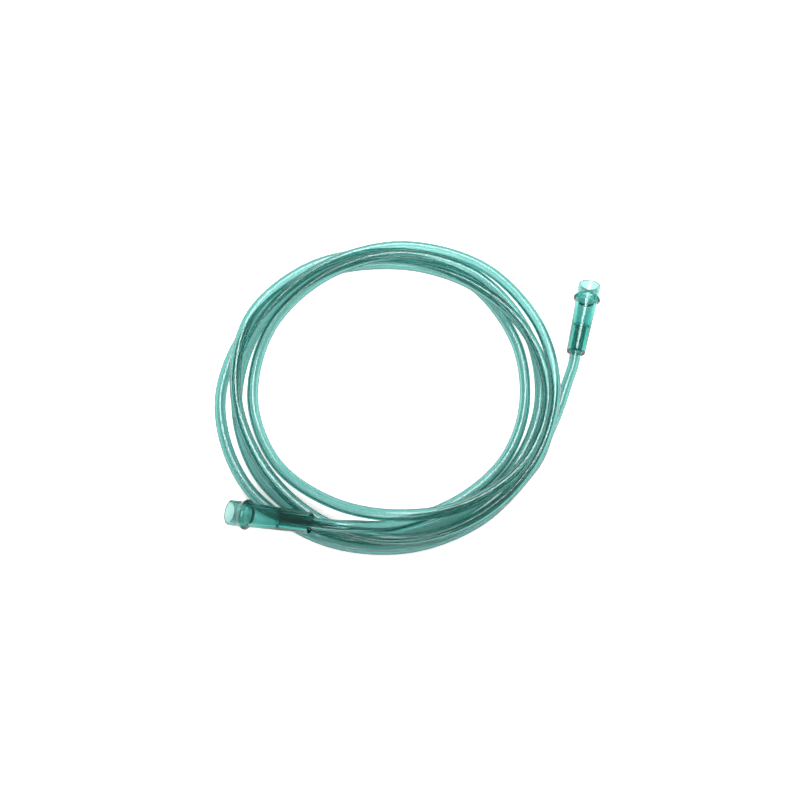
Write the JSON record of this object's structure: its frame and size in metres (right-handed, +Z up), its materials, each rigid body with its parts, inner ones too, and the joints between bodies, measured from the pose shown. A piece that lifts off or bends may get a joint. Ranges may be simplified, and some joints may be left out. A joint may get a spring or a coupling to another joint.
{
  "type": "oxygen supply tubing",
  "caption": "Flexible clear green oxygen tube wound in loose turns that lie flat, with a hollow push-on connector at each end.",
  "frame": {"origin": "on the floor under the middle of the whole part's bounding box", "axes": "+Z up, +X toward the side with the free connector, +Y away from the side with the connector that lies on the turns"},
  "size_m": [0.1966, 0.1645, 0.0197],
  "materials": {
    "tube_pvc": "clear green soft PVC, smooth as extruded",
    "connector_plastic": "clear deep green moulded plastic, polished"
  },
  "bodies": {
    "root": {"tubing": "tube_pvc", "connector_a": "connector_plastic", "connector_b": "connector_plastic"}
  },
  "joints": []
}
